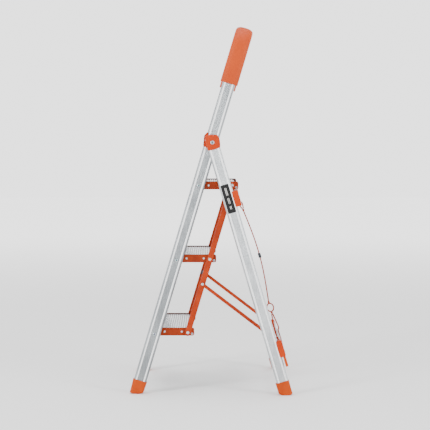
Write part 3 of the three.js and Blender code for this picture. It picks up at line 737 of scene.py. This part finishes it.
def braces():
    firstRivet = fromRail(treadPivots[0] + [0, bracket["reach"], 0])
    up = onRail([[0, 0, 1]])[0] - onRail([[0, 0, 0]])[0]
    base = onRail([firstRivet])[0]
    front = base + up * (brace["frontZ"] - base[2]) / up[2]
    rear = joints["brace_fold"]
    run = (front - rear)[1:]
    length = np.linalg.norm(run)
    onBrace = leaning(rear, math.atan2(run[0], run[1]))
    half = brace["width"] / 2
    outline = roundedOutline(-half, half, -half, length + half, half - 0.1, 12)
    outer, inner = brace["outer"], brace["inner"]
    layers = [(inner, 1.2), (inner, 0.5), (inner + 0.5, 0), (outer - 0.6, 0), (outer - 0.1, 0.5),
              (outer, 1.2), (outer - 0.1, 2.2), (outer - 0.8, 2.9), (outer - 0.9, 3.8)]
    for word, side in sides.items():
        dishedBar(f"brace_{word}_skin", outline, onBrace, layers, orangeSteel, "braces", [f"brace_{word}"],
                  side)
        head = domeProfile(outer - 0.8, 4.5, 2.7, 1.2)
        for end, along in (("foot", 0), ("front", length)):
            turned(f"brace_{end}_rivet_{word}_skin", np.concatenate([brace[end + "Shank"], head]),
                   (0, along), onBrace, zinc, "braces", [f"brace_{end}_rivet_{word}"], 32, side)
        turned(f"brace_bush_{word}", brace["bush"], (0, length), onBrace, darkPlastic, "braces", side=side)
        for i, along in enumerate((0, length)):
            turned(f"brace_seat_{i + 1}_{word}", fromPlane(brace["seat"], outer), (0, along), onBrace,
                   orangeSteel, "braces", side=side)


linkBars()
braces()
print("linkage made")

# crossbars, end caps and lugs
crossbar = {"upper": -185.5, "lower": -667.5, "front": 27, "rear": 31.6, "height": 41, "end": 209,
            "grooved": 13.5, "groovePitch": 9, "grooveDepth": 0.35}
endCap = {"inner": 206.8, "outer": 234.4, "front": 13.2, "rear": 32.8, "height": 49,
          "longer": {"upper": 0, "lower": 2.6}, "corner": {"upper": 3.4, "lower": 5.5}, "screws": (-12, 12),
          "screw": ((0, 3.6), (0.5, 3.9), (1.3, 3.6), (1.7, 2.6), (1.2, 2.2), (1.1, 0.9))}
tail = {"front": 23.2, "rear": 31.0, "drop": 35, "inner": 214, "outer": 230}
lug = {"inner": 177.9, "outer": 180, "from": 17.2, "half": 9, "flangeInner": 160}


def capScrew(name, x, along):
    # a screw head, (height, radius), turned about a line square to the crossbar's rear face
    screw = np.array(endCap["screw"])
    angle = np.linspace(0, 2 * math.pi, 28, endpoint=False)
    behind = np.repeat(endCap["rear"] - 0.4 + screw[:, :1], len(angle), 1)
    grid = np.stack([x + screw[:, 1:] * np.cos(angle), behind, along + screw[:, 1:] * np.sin(angle)], -1)
    vertices, faces = skin(onLeg(grid))
    addMesh(name, vertices, faces, zinc, "rear_frame")


def crossbars():
    for name in ("upper", "lower"):
        middle, half = crossbar[name], crossbar["height"] / 2
        outline = roundedOutline(crossbar["front"], crossbar["rear"], middle - half, middle + half, 1.6, 5)
        # three shallow grooves run along the rear face, as drawn metal has
        z = np.linspace(-crossbar["grooved"], crossbar["grooved"], 73)
        dip = np.clip(np.cos(2 * math.pi * z / crossbar["groovePitch"]) * 4 - 3, 0, 1)
        rear = np.column_stack([crossbar["rear"] - crossbar["grooveDepth"] * dip, middle + z])
        plate(f"{name}_crossbar_skin", np.concatenate([outline, rear]), -crossbar["end"], crossbar["end"],
              onLeg, litLegMetal, "rear_frame", [f"{name}_crossbar"], bevel=0.3)
        capHalf = endCap["height"] / 2
        shape = roundedOutline(endCap["front"], endCap["rear"], middle - capHalf - endCap["longer"][name],
                               middle + capHalf, endCap["corner"][name])
        inner, outer = endCap["inner"], endCap["outer"]
        layers = [(inner, 1.2), (inner + 0.4, 0.4), (inner + 1.2, 0), (outer - 2.0, 0), (outer - 1.0, 0.3),
                  (outer - 0.3, 0.9), (outer, 1.8)]
        for word, side in sides.items():
            dishedBar(f"{name}_end_cap_{word}_skin", shape, onLeg, layers, orangePlastic, "rear_frame",
                      [f"{name}_end_cap_{word}"], side)
            for i, z in enumerate(endCap["screws"]):
                capScrew(f"{name}_cap_screw_{i + 1}_{word}", side * (leg["inner"] + leg["width"] / 2),
                         middle + z)


def latchTails():
    # a springy strip hangs from the back of each lower end cap and follows the leg
    for word, side in sides.items():
        top = crossbar["lower"] - endCap["height"] / 2
        strip = roundedOutline(tail["front"], tail["rear"], top - tail["drop"], top + 6, 1.4, 5)
        plate(f"latch_tail_{word}", strip, side * tail["inner"], side * tail["outer"], onLeg, footPlastic,
              "rear_frame", bevel=0.6)


def braceLugs():
    # an ear for the brace's foot, and the flange that holds it to the lower crossbar
    centre = fromLeg(joints["brace_fold"])[1:]
    face, half = crossbar["front"] - 0.3, lug["half"]
    ear = roundedOutline(lug["from"] - 6, face, centre[1] - half, centre[1] + half, 4)
    flange = roundedOutline(face - 2, face, crossbar["lower"] - 16, centre[1] - 6, 0.5, 3)
    for word, side in sides.items():
        plate(f"brace_lug_{word}_skin", ear, side * lug["inner"], side * lug["outer"], onLeg, orangeSteel,
              "rear_frame", [f"brace_lug_{word}"], bevel=0.4)
        plate(f"brace_lug_flange_{word}", flange, side * lug["flangeInner"], side * lug["outer"], onLeg,
              orangeSteel, "rear_frame", bevel=0.4)


crossbars()
latchTails()
braceLugs()
print("crossbars made")

# tie cord
cord = {"radius": 2.0, "bulge": 12, "splay": 3.6, "knots": [(35, -238), (30, -552), (30, -586)],
        "knotRadius": 4.2, "knotHeight": 9, "knotHalf": 4.3}     # knots are (behind, along) the leg
clip = {"halfWidth": 4.6, "halfHeight": 8, "corner": 3,
        "layers": ((-6, 1.4), (-5.6, 0.5), (-4.6, 0), (-0.6, 0), (-0.4, 0.5), (0.4, 0.5), (0.6, 0), (4.6, 0),
                   (5.6, 0.5), (6, 1.4), (5.6, 2.0), (5.6, 3.0))}


def cordTube(name, points, node, steps=160, around=14):
    # a round section carried along a curve in the stool's middle plane; the curve is Catmull-Rom
    points = np.asarray(points, float)
    ends = np.concatenate([[2 * points[0] - points[1]], points, [2 * points[-1] - points[-2]]])
    at = np.linspace(0, len(points) - 1 - 1e-6, steps)
    i, t = at.astype(int), (at % 1)[:, None]
    a, b, c, d = ends[i], ends[i + 1], ends[i + 2], ends[i + 3]
    path = catmullRom(a, b, c, d, t)
    tangent = np.gradient(path, axis=0)
    tangent /= np.linalg.norm(tangent, axis=1)[:, None]
    normal = np.column_stack([np.zeros(steps), -tangent[:, 1], tangent[:, 0]])
    middles = np.column_stack([np.zeros(steps), path])
    angle = np.linspace(0, 2 * math.pi, around, endpoint=False)
    section = cord["radius"] * np.stack([np.cos(angle), np.sin(angle)], -1)
    vertices, faces = skin(onLeg(sweep(section, middles, np.tile([1.0, 0, 0], (steps, 1)), normal)))
    travelled = np.concatenate([[0], np.cumsum(np.linalg.norm(np.diff(path, axis=0), axis=1))]) * mm
    uv = np.stack([np.repeat(travelled, around), np.tile(angle / (2 * math.pi), steps)], -1)
    uv = np.concatenate([uv, [[0, 0], [travelled[-1], 0]]])
    addMesh(name, vertices, faces, cordBraid, "rear_frame", [node], 60, uv=uv)


def cordLoop(name, barZ, knotPoint, node):
    # out of the knot, up one face of the crossbar, over it and back down the other
    y, z = knotPoint
    clear, height = cord["radius"] + 0.6, crossbar["height"] / 2
    front, rear = crossbar["front"] - clear, crossbar["rear"] + clear
    near = math.copysign(1, z - barZ)
    nearZ, farZ = barZ + near * height, barZ - near * (height + clear)
    points = [(y - 1.9, z - near * 0.5), (front, nearZ + near * 8), (front, nearZ), (front, barZ),
              (front + 0.2, farZ + near * 3), ((front + rear) / 2, farZ - near * 0.6),
              (rear - 0.2, farZ + near * 3), (rear, barZ), (rear, nearZ),
              (rear + cord["splay"], nearZ + near * 10), (y + 1.9, z - near * 0.5)]
    cordTube(name, points, node, 180)


def cordKnot(name, centre, node):
    # a barrel with slanted wraps: radius = barrel * (1 + ridge * sine of (wraps along + twice the turn))
    t = np.linspace(-1, 1, 34)[:, None]
    angle = np.linspace(0, 2 * math.pi, 48, endpoint=False)[None, :]
    barrel = cord["knotRadius"] * np.sqrt(np.clip(1 - np.abs(t) ** 2.6, 0.02, 1))
    radius = barrel * (1 + 0.12 * np.sin(7.5 * t + angle * 2)) * (0.86 + 0.06 * np.cos(angle * 2))
    grid = np.stack([radius * np.cos(angle), centre[0] + radius * np.sin(angle),
                     np.broadcast_to(centre[1] + t * cord["knotHeight"] / 2, radius.shape)], -1)
    vertices, faces = skin(onLeg(grid))
    uv = np.stack([np.broadcast_to((t + 1) * 0.006, radius.shape).ravel(),
                   np.broadcast_to(angle / (2 * math.pi), radius.shape).ravel()], -1)
    uv = np.concatenate([uv, [[0, 0], [0.012, 0]]])
    addMesh(name, vertices, faces, cordBraid, "rear_frame", [node], 60, uv=uv)


def tieCord():
    top, middle, bottom = cord["knots"]
    half = cord["knotHalf"]
    for word, centre in zip(("upper", "middle", "lower"), cord["knots"]):
        cordKnot(f"{word}_cord_knot_skin", centre, f"{word}_cord_knot")
    cordLoop("upper_cord_loop_skin", crossbar["upper"], (top[0], top[1] + half), "upper_cord_loop")
    cordLoop("lower_cord_loop_skin", crossbar["lower"], (bottom[0], bottom[1] - half), "lower_cord_loop")
    t = np.linspace(0, 1, 9)
    behind = top[0] + (middle[0] - top[0]) * t + cord["bulge"] * np.sin(math.pi * t)
    along = top[1] - 3 + (middle[1] + 3 - top[1] + 3) * t
    cordTube("tie_cord_skin", np.column_stack([behind, along]), "tie_cord", 260)
    turn = np.linspace(-math.pi / 2 + 0.12, 3 * math.pi / 2 - 0.12, 17)
    reach = (middle[1] - bottom[1]) / 2 - 3.6
    ringY, ringZ = (middle[0] + bottom[0]) / 2, (middle[1] + bottom[1]) / 2
    ring = np.column_stack([ringY + 0.8 * reach * np.cos(turn), ringZ + reach * np.sin(turn)])
    cordTube("cord_ring_skin", ring, "cord_ring", 90)
    cordClip(np.array([behind[4], along[4]]))


def cordClip(centre):
    # a block with a groove round its middle and a sunk face: layers of one outline, each drawn in
    half, height = clip["halfWidth"], clip["halfHeight"]
    outline = roundedOutline(-half, half, -height, height, clip["corner"])
    grid = [np.column_stack([np.full(len(outline), across), centre + outline * (1 - inset / half)])
            for across, inset in clip["layers"]]
    vertices, faces = skin(onLeg(np.stack(grid)))
    addMesh("cord_clip_skin", vertices, faces, darkPlastic, "rear_frame", ["cord_clip"], 35)


tieCord()
print("tie cord made")

# label on the right rear leg: a dark film with plain pale bars
label = {"top": -134, "bottom": -224, "front": -14.2, "rear": 11.0, "face": 232.1, "stripe": 5.0,
         "dashes": ((0.1, 0.4), (0.46, 0.68), (0.74, 0.88))}     # shares of its height, from the top


def legLabel():
    outline = roundedOutline(label["front"], label["rear"], label["bottom"], label["top"], 1.8)
    x = label["face"]
    plate("leg_label", outline, x - 1.0, x + 0.3, onLeg, labelFilm, "rear_frame", bevel=0.15)
    reach, middle = label["top"] - label["bottom"], (label["front"] + label["rear"]) / 2
    for i, (start, end) in enumerate(label["dashes"]):
        dash = roundedOutline(middle - label["stripe"] / 2, middle + label["stripe"] / 2,
                              label["top"] - reach * end, label["top"] - reach * start, 3.1, 6)
        plate(f"label_dash_{i + 1}", dash, x + 0.1, x + 0.45, onLeg, labelInk, "rear_frame", bevel=0.1)


legLabel()
print("label made")

# floor, light and camera
studio = {"band": 2.5, "above": 0.36, "floor": 0.95, "reach": 14, "near": 0.4, "far": 7.0, "glow": 1.5}


def paleFloor():
    mesh = bpy.data.meshes.new("studio_floor")
    reach = studio["reach"]
    corners = [(-reach, -reach, 0), (reach, -reach, 0), (reach, reach, 0), (-reach, reach, 0)]
    mesh.from_pydata(corners, [], [(0, 1, 2, 3)])
    floor = bpy.data.objects.new("studio_floor", mesh)
    floor.location.z = -0.0004
    bpy.context.scene.collection.objects.link(floor)
    # far away the floor glows a little, so that it meets the sky without a line
    finish = Finish("pale_floor")
    distance = finish.node("VectorMath", {"operation": "LENGTH"}, {0: finish.place()}, output=1)
    glow = finish.mix(finish.steps(distance, studio["near"], studio["far"]), (0, 0, 0, 1), (1, 1, 1, 1))
    mesh.materials.append(finish.principled(Base_Color=(studio["floor"],) * 3 + (1,), Roughness=0.85,
                                            Specular_IOR_Level=0.2, Emission_Color=glow,
                                            Emission_Strength=studio["glow"]))


def softBox(name, place, aim, size, power):
    light = bpy.data.lights.new(name, "AREA")
    light.shape, light.size, light.size_y, light.energy = "RECTANGLE", size[0], size[1], power
    lamp = bpy.data.objects.new(name, light)
    lamp.location = place
    direction = np.array(aim) - np.array(place)
    lamp.rotation_euler = Vector(direction).to_track_quat("-Z", "Y").to_euler()
    bpy.context.scene.collection.objects.link(lamp)


def studioSky():
    # a white band all round at the horizon, soft grey above it
    world = bpy.data.worlds.new("studio")
    bpy.context.scene.world = world
    world.use_nodes = True
    nodes, links = world.node_tree.nodes, world.node_tree.links
    place = nodes.new("ShaderNodeTexCoord")
    split = nodes.new("ShaderNodeSeparateXYZ")
    ramp = nodes.new("ShaderNodeValToRGB")
    white, grey = ramp.color_ramp.elements
    white.position, white.color = 0.2, (1, 1, 1, 1)
    grey.position, grey.color = 0.46, (studio["above"],) * 3 + (1,)
    links.new(place.outputs["Generated"], split.inputs[0])
    links.new(split.outputs["Z"], ramp.inputs[0])
    links.new(ramp.outputs[0], nodes["Background"].inputs["Color"])
    nodes["Background"].inputs["Strength"].default_value = studio["band"]


paleFloor()
studioSky()
softBox("key_light", (2.2, -2.6, 2.2), (0, 0, 0.6), (0.5, 2.2), 70)
softBox("fill_light", (2.2, 2.8, 2.0), (0, 0, 0.5), (0.5, 2.2), 50)
softBox("top_light", (0, 0, 3.6), (0, 0, 0.4), (2.6, 2.6), 90)

view = {"lens": 102.0, "sensor": 36.0, "place": (3.954, -0.001, 0.772), "aim": (0, 0.0134, 0.5444)}
cameraData = bpy.data.cameras.new("camera")
cameraData.lens, cameraData.sensor_width = view["lens"], view["sensor"]
camera = bpy.data.objects.new("camera", cameraData)
camera.location = view["place"]
aim = Vector(view["aim"]) - camera.location
camera.rotation_euler = aim.to_track_quat("-Z", "Y").to_euler()
bpy.context.scene.collection.objects.link(camera)
bpy.context.scene.camera = camera

bpy.context.view_layer.update()
